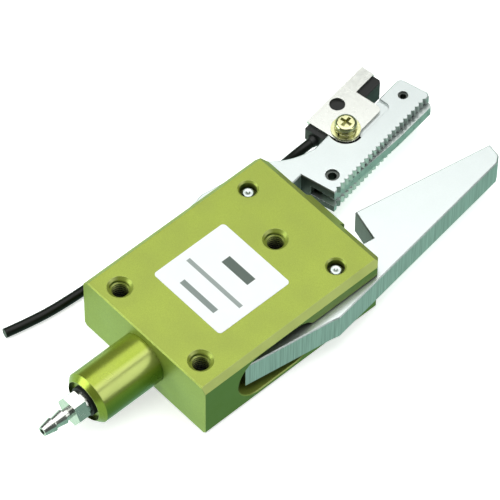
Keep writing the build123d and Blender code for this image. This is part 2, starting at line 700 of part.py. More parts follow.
# distance behind the shoulder's front face, radius: neck, inner barb, neck, tip barb
BARBS = [(4.0, 1.5), (6.3, 1.5), (6.3, 1.95), (9.2, 1.45), (9.6, 1.45), (9.6, 1.9), (STEM_L, 1.25)]
hex_y = gasket_y - GASKET_T
with BuildPart() as air_fitting:
    with BuildSketch(rear_plane(TUBE_FLOOR_Y - 0.3)):
        Circle(FITTING_THREAD_R)
    extrude(amount=TUBE_FLOOR_Y - 0.3 - hex_y)
    with BuildSketch(rear_plane(hex_y)):
        Circle(HEX_AF / 2)
    extrude(amount=COLLAR_L)
    with BuildSketch(rear_plane(hex_y - COLLAR_L)):
        RegularPolygon(HEX_AF / 2, 6, major_radius=False)
    extrude(amount=HEX_L)
    with BuildSketch(Plane.YZ):
        Polygon(
            (hex_y - BARBS[0][0], MID_Z),
            *[(hex_y - along, MID_Z + radius) for along, radius in BARBS],
            (hex_y - STEM_L, MID_Z),
            align=None,
        )
    revolve(axis=Axis((0, 0, MID_Z), (0, 1, 0)))
    with BuildSketch(rear_plane(TUBE_FLOOR_Y)):
        Circle(AIR_BORE_R)
    extrude(amount=TUBE_FLOOR_Y - hex_y + STEM_L, mode=Mode.SUBTRACT)
save(air_fitting, "air_fitting")

GROOVE_Y = (-43.2, -41.4)
GROOVE_R = 4.6
with BuildPart() as piston:
    with BuildSketch(rear_plane(PISTON_FRONT_Y)):
        Circle(PISTON_R)
        Circle(ROD_SPIGOT_R, mode=Mode.SUBTRACT)
    extrude(amount=PISTON_FRONT_Y - PISTON_REAR_Y)
    with BuildSketch(rear_plane(GROOVE_Y[1])):
        Circle(PISTON_R + 0.5)
        Circle(GROOVE_R, mode=Mode.SUBTRACT)
    extrude(amount=GROOVE_Y[1] - GROOVE_Y[0], mode=Mode.SUBTRACT)
save(piston, "piston")

with BuildPart() as piston_seal:
    with BuildSketch(rear_plane(GROOVE_Y[1] - 0.1)):
        Circle(PISTON_R + 0.01)
        Circle(GROOVE_R, mode=Mode.SUBTRACT)
    extrude(amount=GROOVE_Y[1] - GROOVE_Y[0] - 0.2)
save(piston_seal, "piston_seal")

with BuildPart() as piston_rod:
    with BuildSketch(rear_plane(CAM_REAR_Y)):
        Circle(ROD_R)
    extrude(amount=CAM_REAR_Y - PISTON_FRONT_Y)
    with BuildSketch(rear_plane(CAM_REAR_Y + SPIGOT_DEPTH)):
        Circle(ROD_SPIGOT_R)
    extrude(amount=SPIGOT_DEPTH)
    with BuildSketch(rear_plane(PISTON_FRONT_Y)):
        Circle(ROD_SPIGOT_R)
    extrude(amount=PISTON_FRONT_Y - PISTON_REAR_Y)
    with BuildSketch(Plane.XY.offset(cam_bottom)):
        with Locations((0, CAM_PIN_Y)):
            Circle(CAM_PIN_R)
    extrude(amount=CAM_H, mode=Mode.SUBTRACT)
save(piston_rod, "piston_rod")

BUMPER_R = 4.1
BUMPER_L = 6.0
with BuildPart() as rod_bushing:
    with BuildSketch(rear_plane(CHAMBER_REAR_Y - 0.3)):
        Circle(BUSHING_R)
        Circle(ROD_R + 0.05, mode=Mode.SUBTRACT)
    extrude(amount=CHAMBER_REAR_Y - 0.3 - TUBE_SEAT_Y)
save(rod_bushing, "rod_bushing")

with BuildPart() as stroke_bumper:
    with BuildSketch(rear_plane(TUBE_SEAT_Y)):
        Circle(BUMPER_R)
        Circle(ROD_R + 0.3, mode=Mode.SUBTRACT)
    extrude(amount=BUMPER_L)
save(stroke_bumper, "stroke_bumper")

SPRING_WIRE = 0.8
SPRING_R = 5.0
SPRING_TURNS = 5
with BuildPart() as return_spring:
    spring_start = (0, PISTON_FRONT_Y + SPRING_WIRE / 2 + 0.05, MID_Z)
    spring_height = TUBE_SEAT_Y - PISTON_FRONT_Y - SPRING_WIRE - 0.1
    with BuildLine() as coil:
        Helix(spring_height / SPRING_TURNS, spring_height, SPRING_R, center=spring_start, direction=(0, 1, 0))
    with BuildSketch(Plane(origin=coil.line @ 0, z_dir=coil.line % 0)):
        Circle(SPRING_WIRE / 2)
    sweep(path=coil.line)
save(return_spring, "return_spring")


# ---------- cam that spreads the rear arms ----------
def nose_centre(angle):
    """Right lever's nose centre with the lever turned by angle from closed."""
    a = radians(angle)
    nose_x, nose_y = NOSE
    return PIVOT_X + nose_x * cos(a) + nose_y * sin(a), PIVOT_Y - nose_x * sin(a) + nose_y * cos(a)


flank = radians(CAM_ANGLE)
open_x, open_y = nose_centre(OPEN_ANGLE)
shut_x, shut_y = nose_centre(0)
reach_open = cos(flank) * open_x + sin(flank) * open_y
reach_shut = cos(flank) * shut_x + sin(flank) * shut_y
cam_offset = reach_open - NOSE_R - CAM_GAP
stroke = (reach_shut - reach_open) / sin(flank)
print("stroke", round(stroke, 3), "mm, per radian", round(stroke / radians(OPEN_ANGLE), 3))


def cam_half_width(y):
    return (cam_offset - sin(flank) * y) / cos(flank)


with BuildPart() as cam_wedge:
    with BuildSketch(Plane.XY.offset(cam_bottom)):
        Polygon(
            (-cam_half_width(CAM_REAR_Y), CAM_REAR_Y),
            (cam_half_width(CAM_REAR_Y), CAM_REAR_Y),
            (cam_half_width(CAM_TIP_Y), CAM_TIP_Y),
            (-cam_half_width(CAM_TIP_Y), CAM_TIP_Y),
            align=None,
        )
    extrude(amount=CAM_H)
    with BuildSketch(rear_plane(CAM_REAR_Y + SPIGOT_DEPTH)):
        Circle(ROD_SPIGOT_R)
    extrude(amount=SPIGOT_DEPTH, mode=Mode.SUBTRACT)
    with BuildSketch(Plane.XY.offset(cam_bottom)):
        with Locations((0, CAM_PIN_Y)):
            Circle(CAM_PIN_R)
    extrude(amount=CAM_H, mode=Mode.SUBTRACT)
save(cam_wedge, "cam_wedge")

with BuildPart() as cam_pin:
    with BuildSketch(Plane.XY.offset(cam_bottom + 0.3)):
        with Locations((0, CAM_PIN_Y)):
            Circle(CAM_PIN_R)
    extrude(amount=CAM_H - 0.6)
save(cam_pin, "cam_pin")

# ---------- spring that opens the jaws, through the divider ----------
neck_open = PIVOT_X + NECK_INNER * cos(turn_open) + NECK_Y * sin(turn_open)
half_length = neck_open - 0.6
with BuildPart() as opening_spring:
    with BuildSketch(Plane.YZ.offset(-half_length)):
        with Locations((PIVOT_Y + NECK_Y, MID_Z)):
            Circle(1.6)
            Circle(1.1, mode=Mode.SUBTRACT)
    extrude(amount=2 * half_length)
save(opening_spring, "opening_spring")
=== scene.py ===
import json
from math import cos, pi, radians, sin

import bmesh
import bpy
from mathutils import Matrix, Vector


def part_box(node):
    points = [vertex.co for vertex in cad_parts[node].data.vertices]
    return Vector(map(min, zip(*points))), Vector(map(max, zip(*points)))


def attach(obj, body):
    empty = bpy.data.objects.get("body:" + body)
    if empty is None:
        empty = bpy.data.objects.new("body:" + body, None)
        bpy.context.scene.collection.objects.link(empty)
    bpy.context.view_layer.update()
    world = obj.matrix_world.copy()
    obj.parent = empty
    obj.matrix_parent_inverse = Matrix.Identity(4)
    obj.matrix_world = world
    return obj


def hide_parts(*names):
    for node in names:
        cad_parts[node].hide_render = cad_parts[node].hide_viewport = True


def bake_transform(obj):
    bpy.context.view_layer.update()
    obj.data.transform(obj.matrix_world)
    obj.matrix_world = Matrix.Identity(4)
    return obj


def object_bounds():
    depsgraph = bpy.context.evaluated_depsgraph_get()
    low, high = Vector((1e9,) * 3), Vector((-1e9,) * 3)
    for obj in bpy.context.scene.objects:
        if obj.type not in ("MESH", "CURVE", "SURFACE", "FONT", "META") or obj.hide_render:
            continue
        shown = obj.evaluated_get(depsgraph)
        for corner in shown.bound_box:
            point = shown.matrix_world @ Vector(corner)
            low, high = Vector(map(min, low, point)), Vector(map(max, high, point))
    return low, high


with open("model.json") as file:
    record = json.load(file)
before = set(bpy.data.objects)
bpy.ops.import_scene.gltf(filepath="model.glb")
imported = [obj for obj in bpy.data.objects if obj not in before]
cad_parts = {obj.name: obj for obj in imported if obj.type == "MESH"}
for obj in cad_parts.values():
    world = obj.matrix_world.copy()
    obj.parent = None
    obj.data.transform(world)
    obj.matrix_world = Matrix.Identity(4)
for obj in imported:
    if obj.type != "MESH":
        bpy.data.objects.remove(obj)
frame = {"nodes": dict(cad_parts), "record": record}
cad_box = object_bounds()
scene = bpy.context.scene
record = frame["record"]
mounts = {m["name"]: m for m in record["mounts"]}

MM = 0.001


# ---------- camera ----------
CAMERA_AZIMUTH = radians(47.14)
CAMERA_ELEVATION = radians(53.64)
CAMERA_ROLL = radians(0.65)
CAMERA_DISTANCE = 1.1
CAMERA_AIM = Vector((-0.00352, 0.00751, 0.01466))
CAMERA_LENS = 326.2

away = Vector((
    sin(CAMERA_AZIMUTH) * cos(CAMERA_ELEVATION),
    -cos(CAMERA_AZIMUTH) * cos(CAMERA_ELEVATION),
    sin(CAMERA_ELEVATION),
))
level_right = Vector((cos(CAMERA_AZIMUTH), sin(CAMERA_AZIMUTH), 0))
level_up = away.cross(level_right)
camera_right = level_right * cos(CAMERA_ROLL) + level_up * sin(CAMERA_ROLL)
camera_up = level_up * cos(CAMERA_ROLL) - level_right * sin(CAMERA_ROLL)
camera_data = bpy.data.cameras.new("camera")
camera_data.lens = CAMERA_LENS
camera_data.clip_start = 0.05
camera_data.clip_end = 20
camera = bpy.data.objects.new("camera", camera_data)
scene.collection.objects.link(camera)
camera.matrix_world = Matrix.Translation(CAMERA_AIM + away * CAMERA_DISTANCE) @ Matrix(
    (camera_right, camera_up, away)).transposed().to_4x4()
scene.camera = camera


# ---------- mesh helpers ----------
def mesh_object(name, bm, smooth_angle=35):
    """A linked object from bm, shaded smooth apart from edges sharper than smooth_angle."""
    for edge in bm.edges:
        if len(edge.link_faces) == 2 and edge.calc_face_angle(0) > radians(smooth_angle):
            edge.smooth = False
    for face in bm.faces:
        face.smooth = True
    mesh = bpy.data.meshes.new(name)
    bm.to_mesh(mesh)
    bm.free()
    made = bpy.data.objects.new(name, mesh)
    scene.collection.objects.link(made)
    return made


def along(points):
    """Each point of a line, with two steady directions across the line there."""
    frames = []
    side = None
    for i, point in enumerate(points):
        before = points[max(i - 1, 0)]
        after = points[min(i + 1, len(points) - 1)]
        tangent = (after - before).normalized()
        if side is None:
            side = tangent.orthogonal()
        side = (side - tangent * side.dot(tangent)).normalized()
        frames.append((point, side, tangent.cross(side)))
    return frames


def around(centre, side, other, radius, turn):
    """The point at radius from centre, turned by a share of a full turn from side towards other."""
    return centre + side * (radius * cos(2 * pi * turn)) + other * (radius * sin(2 * pi * turn))


def tube(bm, points, radius, sides):
    """A closed round tube along points."""
    rings = [
        [bm.verts.new(around(centre, side, other, radius, k / sides)) for k in range(sides)]
        for centre, side, other in along(points)
    ]
    for ring, following in zip(rings, rings[1:]):
        for k in range(sides):
            bm.faces.new((ring[k], ring[(k + 1) % sides], following[(k + 1) % sides], following[k]))
    bm.faces.new(list(reversed(rings[0])))
    bm.faces.new(rings[-1])
    bm.normal_update()


def lathe(bm, profile, sides, place):
    """Turned solid from (radius, height) pairs; a radius of 0 closes it with a point."""
    angles = [2 * pi * k / sides for k in range(sides)]
    rings = []
    for radius, height in profile:
        if radius < 1e-7:
            rings.append([bm.verts.new(place @ Vector((0, 0, height)))])
        else:
            rings.append([
                bm.verts.new(place @ Vector((radius * cos(angle), radius * sin(angle), height)))
                for angle in angles
            ])
    for lower, upper in zip(rings, rings[1:]):
        for k in range(sides):
            corners = [lower[k % len(lower)], lower[(k + 1) % len(lower)],
                       upper[(k + 1) % len(upper)], upper[k % len(upper)]]
            distinct = list(dict.fromkeys(corners))
            if len(distinct) > 2:
                bm.faces.new(distinct)
    bmesh.ops.recalc_face_normals(bm, faces=bm.faces)


def helix_points(start, axis, length, radius, turns, closed_ends):
    """Centre line of a coil spring whose first and last closed_ends turns lie close together."""
    steps = 28
    end_pitch = 0.12
    axis = axis.normalized()
    side = axis.orthogonal().normalized()
    other = axis.cross(side)
    count = int(turns * steps)
    weights = []
    for i in range(count):
        turn = (i + 0.5) / steps
        near_end = min(turn, turns - turn) < closed_ends
        weights.append(end_pitch if near_end else 1.0)
    total = sum(weights)
    points = []
    climbed = 0.0
    for i in range(count + 1):
        centre = start + axis * (length * climbed / total)
        points.append(around(centre, side, other, radius, i / steps))
        if i < count:
            climbed += weights[i]
    return points


# ---------- cord ----------
CABLE_R = 1.25 * MM
ROUTE = (
    (-0.020706, 0.043539, 0.0094),
    (-0.0209, 0.0383, 0.0088),
    (-0.0240, 0.0325, 0.0016),
    (-0.0260, 0.0220, 0.00125),
    (-0.0278, 0.0020, 0.00125),
    (-0.0286, -0.0140, 0.00125),
    (-0.0291, -0.0290, 0.00125),
    (-0.0301, -0.0385, 0.00125),
    (-0.0321, -0.0470, 0.00125),
)
route_curve = bpy.data.curves.new("route", "CURVE")
route_curve.dimensions = "3D"
route_curve.resolution_u = 24
route_spline = route_curve.splines.new("NURBS")
route_spline.points.add(len(ROUTE) - 1)
for route_point, place in zip(route_spline.points, ROUTE):
    route_point.co = (*place, 1)
route_spline.order_u = 3
route_spline.use_endpoint_u = True
route_object = bpy.data.objects.new("route", route_curve)
scene.collection.objects.link(route_object)
bpy.context.view_layer.update()
evaluated_route = route_object.evaluated_get(bpy.context.evaluated_depsgraph_get())
route_mesh = bpy.data.meshes.new_from_object(evaluated_route)
cable_line = [v.co.copy() for v in route_mesh.vertices]
bpy.data.objects.remove(route_object)
bpy.data.meshes.remove(route_mesh)

bm = bmesh.new()
tube(bm, cable_line, CABLE_R, sides=32)
cable = mesh_object("cable", bm)


# ---------- materials ----------
class Finish:
    """A procedural material on one Principled shader, its coordinates in the row frame."""

    def __init__(self, name, colour, metallic, roughness, **constants):
        self.material = bpy.data.materials.new(name)
        self.material.use_nodes = True
        self.tree = self.material.node_tree
        self.shader = self.tree.nodes["Principled BSDF"]
        self.shader.inputs["Base Color"].default_value = (*colour, 1)
        self.shader.inputs["Metallic"].default_value = metallic
        self.shader.inputs["Roughness"].default_value = roughness
        for socket, value in constants.items():
            self.shader.inputs[socket.replace("_", " ")].default_value = value
        self.coordinates = self.tree.nodes.new("ShaderNodeTexCoord").outputs["Object"]
        self.normal = None

    def link(self, source, target):
        self.tree.links.new(source, target)

    def stretched(self, scale):
        mapping = self.tree.nodes.new("ShaderNodeMapping")
        mapping.inputs["Scale"].default_value = scale
        self.link(self.coordinates, mapping.inputs["Vector"])
        return mapping.outputs["Vector"]

    def noise(self, size, detail=2.0, rough=0.5, vector=None):
        """Noise whose features are about size millimetres across."""
        node = self.tree.nodes.new("ShaderNodeTexNoise")
        node.inputs["Scale"].default_value = 1 / (size * MM)
        node.inputs["Detail"].default_value = detail
        node.inputs["Roughness"].default_value = rough
        self.link(vector or self.coordinates, node.inputs["Vector"])
        return node.outputs["Fac"]

    def place(self, axis):
        """The row frame's X, Y or Z."""
        split = self.tree.nodes.new("ShaderNodeSeparateXYZ")
        self.link(self.coordinates, split.inputs["Vector"])
        return split.outputs[axis]

    def cells(self, size):
        node = self.tree.nodes.new("ShaderNodeTexVoronoi")
        node.inputs["Scale"].default_value = 1 / (size * MM)
        self.link(self.coordinates, node.inputs["Vector"])
        return node.outputs["Distance"]

    def range(self, value, low, high, out_low=0.0, out_high=1.0):
        node = self.tree.nodes.new("ShaderNodeMapRange")
        limits = {"From Min": low, "From Max": high, "To Min": out_low, "To Max": out_high}
        for socket, number in limits.items():
            node.inputs[socket].default_value = number
        self.link(value, node.inputs["Value"])
        return node.outputs["Result"]

    def combined(self, operation, a, b):
        """A sum or product of two shares, kept between 0 and 1."""
        node = self.tree.nodes.new("ShaderNodeMath")
        node.operation = operation
        node.use_clamp = True
        for socket, value in zip(node.inputs, (a, b)):
            if isinstance(value, (int, float)):
                socket.default_value = value
            else:
                self.link(value, socket)
        return node.outputs[0]

    def product(self, a, b):
        return self.combined("MULTIPLY", a, b)

    def total(self, a, b):
        return self.combined("ADD", a, b)

    def mix(self, factor, a, b):
        node = self.tree.nodes.new("ShaderNodeMix")
        node.data_type = "RGBA"
        self.link(factor, node.inputs["Factor"])
        for socket, value in ((node.inputs[6], a), (node.inputs[7], b)):
            if isinstance(value, tuple):
                socket.default_value = (*value, 1)
            else:
                self.link(value, socket)
        return node.outputs[2]

    def level(self):
        """1 on faces that look up or down, 0 on upright ones."""
        geometry = self.tree.nodes.new("ShaderNodeNewGeometry")
        split = self.tree.nodes.new("ShaderNodeSeparateXYZ")
        self.link(geometry.outputs["Normal"], split.inputs["Vector"])
        return self.range(self.product(split.outputs["Z"], split.outputs["Z"]), 0.3, 0.8)

    def facing(self, axis, low, high):
        """1 where the face looks along axis in the row frame."""
        geometry = self.tree.nodes.new("ShaderNodeNewGeometry")
        dot = self.tree.nodes.new("ShaderNodeVectorMath")
        dot.operation = "DOT_PRODUCT"
        dot.inputs[1].default_value = axis
        self.link(geometry.outputs["Normal"], dot.inputs[0])
        return self.range(dot.outputs["Value"], low, high)

    def edges(self, radius):
        """1 where the surface turns sharply within radius millimetres."""
        bevel = self.tree.nodes.new("ShaderNodeBevel")
        bevel.samples = 6
        bevel.inputs["Radius"].default_value = radius * MM
        geometry = self.tree.nodes.new("ShaderNodeNewGeometry")
        dot = self.tree.nodes.new("ShaderNodeVectorMath")
        dot.operation = "DOT_PRODUCT"
        self.link(bevel.outputs["Normal"], dot.inputs[0])
        self.link(geometry.outputs["Normal"], dot.inputs[1])
        return self.range(dot.outputs["Value"], 0.75, 0.99, 1.0, 0.0)

    def cavity(self, reach, low=0.12, high=0.42):
        """1 deep inside holes, slots and gaps, 0 in the open."""
        occlusion = self.tree.nodes.new("ShaderNodeAmbientOcclusion")
        occlusion.samples = 8
        occlusion.inputs["Distance"].default_value = reach * MM
        return self.range(occlusion.outputs["AO"], low, high, 1.0, 0.0)

    def bar(self, x, y, width, height):
        """1 inside a flat rectangle centred on x, y millimetres in the row frame."""
        soft_edge = 0.08
        inside = []
        for axis, middle, size in (("X", x, width), ("Y", y, height)):
            offset = self.tree.nodes.new("ShaderNodeMath")
            offset.operation = "SUBTRACT"
            offset.inputs[1].default_value = middle * MM
            self.link(self.place(axis), offset.inputs[0])
            distance = self.tree.nodes.new("ShaderNodeMath")
            distance.operation = "ABSOLUTE"
            self.link(offset.outputs[0], distance.inputs[0])
            half = size / 2
            inside.append(self.range(distance.outputs[0], half * MM, (half + soft_edge) * MM, 1.0, 0.0))
        return self.product(*inside)

    def rounded(self, radius):
        """Softens the shading over sharp edges."""
        bevel = self.tree.nodes.new("ShaderNodeBevel")
        bevel.samples = 6
        bevel.inputs["Radius"].default_value = radius * MM
        self.normal = bevel.outputs["Normal"]

    def bump(self, height, strength, depth):
        node = self.tree.nodes.new("ShaderNodeBump")
        node.inputs["Strength"].default_value = strength
        node.inputs["Distance"].default_value = depth * MM
        self.link(height, node.inputs["Height"])
        if self.normal is not None:
            self.link(self.normal, node.inputs["Normal"])
        self.normal = node.outputs["Normal"]

    def done(self, colour, roughness=None):
        """Connects what was made to the shader, and gives the material."""
        self.link(colour, self.shader.inputs["Base Color"])
        if roughness is not None:
            self.link(roughness, self.shader.inputs["Roughness"])
        if self.normal is not None:
            self.link(self.normal, self.shader.inputs["Normal"])
        return self.material


def shade(colour, factor):
    return tuple(min(1.0, c * factor) for c in colour)


def anodised(name, roughness=0.4, metallic=0.45, base=(0.315, 0.385, 0.055)):
    """Bead-blasted and anodised aluminium; painted shade on the long sides, a painted highlight on the
    up-and-right chamfers, painted shade in holes and slots, and edges lightened partly by wear and partly by
    a painted highlight.
    """
    f = Finish(name, base, metallic, roughness, Specular_IOR_Level=0.4)
    blast = f.noise(0.22, 3, 0.65)
    cloud = f.noise(9.0, 3)
    speck = f.cells(0.35)
    f.rounded(0.16)
    f.bump(blast, 0.25, 0.02)
    mottled = f.mix(f.range(blast, 0.35, 0.65), shade(base, 0.86), shade(base, 1.12))
    clouded = f.mix(f.product(f.range(cloud, 0.35, 0.7), 0.3), mottled, (0.33, 0.375, 0.085))
    pitted = f.mix(f.range(speck, 0.02, 0.12, 0.25, 0.0), clouded, shade(base, 0.6))
    # edges lighter: partly wear through the anodising, partly a painted highlight along the edges
    wear = f.product(f.edges(0.22), f.range(f.noise(1.2, 3), 0.35, 0.6, 0.25, 0.85))
    worn = f.mix(wear, pitted, (0.66, 0.70, 0.34))
    # painted shade: the long sides, facing +X and -X, darkened towards deep green
    sides = f.total(f.facing((1, 0, 0), 0.85, 0.97), f.facing((-1, 0, 0), 0.85, 0.97))
    sides_shaded = f.mix(f.product(sides, 0.75), worn, (0.10, 0.20, 0.012))
    # painted highlight: chamfers facing up and to the right made lighter
    right_chamfer = f.facing((0.6, 0, 0.8), 0.92, 0.98)
    bright = f.mix(f.product(right_chamfer, 0.7), sides_shaded, (0.50, 0.55, 0.18))
    # painted shade: holes, slots and gaps darkened almost to black
    deep = f.mix(f.cavity(9.0), bright, (0.004, 0.005, 0.002))
    return f.done(deep, f.range(cloud, 0.3, 0.7, roughness * 0.9, roughness * 1.2))


JAW_REAR_FROM, JAW_REAR_TO = 30.0, 39.0


def machined(name, base, roughness):
    """Milled light alloy: upright cutter marks on the sides, a fine swirl on the flats."""
    f = Finish(name, base, 0.9, roughness)
    marks = f.noise(0.34, 2, 0.6, f.stretched((1, 1, 0.02)))
    fine = f.noise(0.2, 3, 0.6)
    cloud = f.noise(6.0, 2)
    flat = f.level()
    height = f.total(f.product(marks, f.range(flat, 0, 1, 1.0, 0.12)), f.product(fine, 0.25))
    f.rounded(0.12)
    f.bump(height, 0.35, 0.04)
    streaks = f.product(f.range(marks, 0.35, 0.65), f.range(flat, 0, 1, 1.0, 0.1))
    streaked = f.mix(streaks, base, shade(base, 0.68))
    clouded = f.mix(f.range(cloud, 0.35, 0.65, 0.0, 0.25), streaked, shade(base, 0.9))
    worn = f.mix(f.product(f.edges(0.15), 0.6), clouded, (0.92, 0.93, 0.93))
    # painted shade: the jaws' rear faces, next to the housing, darkened almost to black
    ahead = f.range(f.place("Y"), JAW_REAR_FROM * MM, (JAW_REAR_FROM + 0.2) * MM)
    behind = f.range(f.place("Y"), (JAW_REAR_TO - 0.5) * MM, JAW_REAR_TO * MM, 1.0, 0.0)
    rear = f.product(f.product(ahead, behind), f.facing((0, -1, 0), 0.45, 0.75))
    rear_shaded = f.mix(f.product(rear, 0.93), worn, (0.008, 0.011, 0.009))
    # painted shade: holes, slots and gaps darkened almost to black
    deep = f.mix(f.cavity(6.0, 0.12, 0.40), rear_shaded, (0.006, 0.008, 0.007))
    return f.done(deep, f.range(fine, 0.3, 0.7, roughness * 0.85, roughness * 1.2))


def plated(name, base, roughness, wear):
    """Bright plating over fine turning or rolling marks."""
    f = Finish(name, base, 1.0, roughness)
    fine = f.noise(0.12, 3, 0.6)
    smear = f.noise(1.6, 3, 0.6)
    f.rounded(0.07)
    f.bump(fine, 0.12, 0.01)
    tinted = f.mix(f.range(smear, 0.35, 0.65), shade(base, 0.9), shade(base, 1.05))
    worn = f.mix(f.product(f.edges(0.1), 0.5), tinted, wear)
    return f.done(worn, f.range(smear, 0.3, 0.7, roughness * 0.7, roughness * 1.5))


def ground(name, base, roughness):
    """Ground steel: fine parallel marks and a thin oil film."""
    f = Finish(name, base, 0.95, roughness)
    marks = f.noise(0.08, 2, 0.6, f.stretched((1, 0.15, 1)))
    film = f.noise(2.2, 3)
    f.rounded(0.08)
    f.bump(marks, 0.25, 0.012)
    oiled = f.mix(f.range(film, 0.35, 0.65), shade(base, 0.8), shade(base, 1.08))
    scratched = f.mix(f.range(marks, 0.55, 0.75, 0.0, 0.5), oiled, shade(base, 0.7))
    worn = f.mix(f.product(f.edges(0.1), 0.5), scratched, shade(base, 1.6))
    return f.done(worn, f.range(film, 0.3, 0.7, roughness * 0.8, roughness * 1.3))


def moulded(name, base, roughness, grain=0.25, depth=0.03, **constants):
    """Moulded plastic or rubber with a fine texture."""
    f = Finish(name, base, 0.0, roughness, **constants)
    texture = f.noise(grain, 3, 0.6)
    handling = f.noise(3.0, 3)
    f.rounded(0.15)
    f.bump(texture, 0.3, depth)
    rubbed = f.mix(f.range(handling, 0.4, 0.7), base, shade(base, 1.5))
    worn = f.mix(f.product(f.edges(0.12), 0.4), rubbed, shade(base, 2.6))
    return f.done(worn, f.range(handling, 0.3, 0.7, roughness * 0.85, roughness * 1.15))


# the label's plain bars: centre x and y, width and height in millimetres, and their grey
LABEL_BARS = (
    (1.0, -0.4, 9.2, 2.6, (0.09, 0.12, 0.10)),
    (-0.1, -7.2, 19.0, 1.1, (0.30, 0.34, 0.32)),
    (0.3, -12.6, 12.0, 1.5, (0.22, 0.26, 0.24)),
)


def film():
    """White label film printed with plain bars."""
    base = (0.90, 0.91, 0.91)
    f = Finish("label_film", base, 0.0, 0.38, Specular_IOR_Level=0.4)
    paper = f.noise(0.5, 3, 0.6)
    cloud = f.noise(5.0, 2)
    f.bump(paper, 0.12, 0.01)
    printed = f.mix(f.range(cloud, 0.35, 0.65), base, (0.88, 0.895, 0.90))
    for x, y, width, height, grey in LABEL_BARS:
        printed = f.mix(f.bar(x, y, width, height), printed, grey)
    return f.done(printed, f.range(paper, 0.3, 0.7, 0.32, 0.45))


finishes = {
    "anodised": anodised("anodised"),
    "bright_aluminium": machined("bright_aluminium", (0.62, 0.665, 0.655), 0.34),
    "nickel": plated("nickel", (0.62, 0.63, 0.59), 0.2, (0.85, 0.85, 0.80)),
    "ground_steel": ground("ground_steel", (0.52, 0.57, 0.55), 0.3),
    "tool_steel": ground("tool_steel", (0.38, 0.39, 0.40), 0.35),
    "spring_steel": ground("spring_steel", (0.09, 0.10, 0.09), 0.32),
    "black_plastic": moulded("black_plastic", (0.006, 0.007, 0.006), 0.42, Specular_IOR_Level=0.35),
    "cable_jacket": moulded("cable_jacket", (0.003, 0.004, 0.002), 0.36, 0.5, 0.02, Specular_IOR_Level=0.22),
    "rubber": moulded("rubber", (0.014, 0.014, 0.014), 0.6),
    "yellow_zinc": plated("yellow_zinc", (0.60, 0.60, 0.33), 0.2, (0.85, 0.86, 0.60)),
    "label_film": film(),
    "brass": plated("brass", (0.78, 0.60, 0.28), 0.28, (0.92, 0.78, 0.48)),
    "bronze": plated("bronze", (0.55, 0.38, 0.20), 0.42, (0.75, 0.58, 0.36)),
}
turned = anodised("anodised_turned", 0.24, 0.6, (0.26, 0.33, 0.03))
node_slots = {s["node"]: s["material_slot"] for s in record["subparts"]}
for name, node in frame["nodes"].items():
    node.data.materials.clear()
    node.data.materials.append(turned if name == "cylinder_tube" else finishes[node_slots[name]])


def finish_piece(piece, slot, body, *stands_for):
    """Gives a piece its finish, the body it rides on, if any, and the nodes it replaces."""
    piece.data.materials.append(finishes[slot])
    if body:
        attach(piece, body)
    if stands_for:
        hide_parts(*stands_for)
    return piece


# ---------- cord, continued: its finish, in the sensor cable's place ---------
cable.data.materials.append(finishes["cable_jacket"])
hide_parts("sensor_cable")
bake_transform(cable)

# ---------- thread turns in the tapped holes ----------
THREAD_PITCH = 0.8 * MM
THREAD_RUN_OUT = 0.75  # turns over which the thread fades at either end
# one turn's section: height above the wall and place along the hole, in millimetres
THREAD_ROOT, THREAD_CREST = -0.02, 0.40
THREAD_SECTION = ((THREAD_ROOT, -0.36), (THREAD_CREST, -0.07), (THREAD_CREST, 0.07), (THREAD_ROOT, 0.36))
for name in ("rear_left_thread", "rear_right_thread", "front_thread"):
    hole = mounts[name]
    major = hole["dims"]["r_mm"] * MM
    centre = Vector(hole["pos_m"])
    length = hole["dims"]["length_mm"] * MM
    bm = bmesh.new()
    steps = 40
    count = int(length / THREAD_PITCH * steps)
    rows = []
    for i in range(count + 1):
        angle = 2 * pi * i / steps
        z = centre.z - length / 2 + THREAD_PITCH * i / steps
        run_out = THREAD_RUN_OUT * steps
        lead = min(1.0, i / run_out, (count - i) / run_out)
        outward = Vector((cos(angle), sin(angle), 0))
        row = []
        for height, lift in THREAD_SECTION:
            inward = height * lead if height == THREAD_CREST else height
            on_axis = Vector((centre.x, centre.y, z + lift * MM))
            row.append(bm.verts.new(on_axis + outward * (major - inward * MM)))
        rows.append(row)
    for row, following in zip(rows, rows[1:]):
        for k in range(len(THREAD_SECTION) - 1):
            bm.faces.new((row[k], following[k], following[k + 1], row[k + 1]))
    bmesh.ops.recalc_face_normals(bm, faces=bm.faces)
    thread = mesh_object(name.replace("_thread", "_thread_turns"), bm, 50)
    finish_piece(thread, "anodised", "housing_assembly")

# ---------- pivot pins: turned, with a centre drilled in both ends ----------
# the rounded rim, as distances in from the side and from the end, and the centre, as radius and depth
PIN_RIM = ((0, 0.32), (0.08, 0.14), (0.26, 0.02), (0.40, 0))
PIN_CENTRE = ((0.50, 0), (0.44, 0.03), (0.12, 0.20), (0, 0.22))
for side in ("left", "right"):
    low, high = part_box(f"{side}_pivot_pin")
    middle = (low + high) / 2
    r = (high.x - low.x) / 2
    h = (high.z - low.z) / 2
    rim = [(r - inset * MM, h - drop * MM) for inset, drop in PIN_RIM]
    drilled = [(radius * MM, h - depth * MM) for radius, depth in PIN_CENTRE]
    upper_half = [(r, 0)] + rim + drilled
    lower_half = [(radius, -height) for radius, height in reversed(upper_half[1:])]
    bm = bmesh.new()
    lathe(bm, lower_half + upper_half, 64, Matrix.Translation(middle))
    pin = mesh_object(f"{side}_pivot_pin_turned", bm, 30)
    finish_piece(pin, "ground_steel", "housing_assembly", f"{side}_pivot_pin")

# ---------- springs: each a coil between the two parts that it pushes apart --------------
# wire radius and number of turns
OPENING_WIRE, OPENING_TURNS = 0.27 * MM, 7
RETURN_WIRE, RETURN_TURNS = 0.4 * MM, 6
DETECTION_WIRE, DETECTION_TURNS = 0.18 * MM, 6


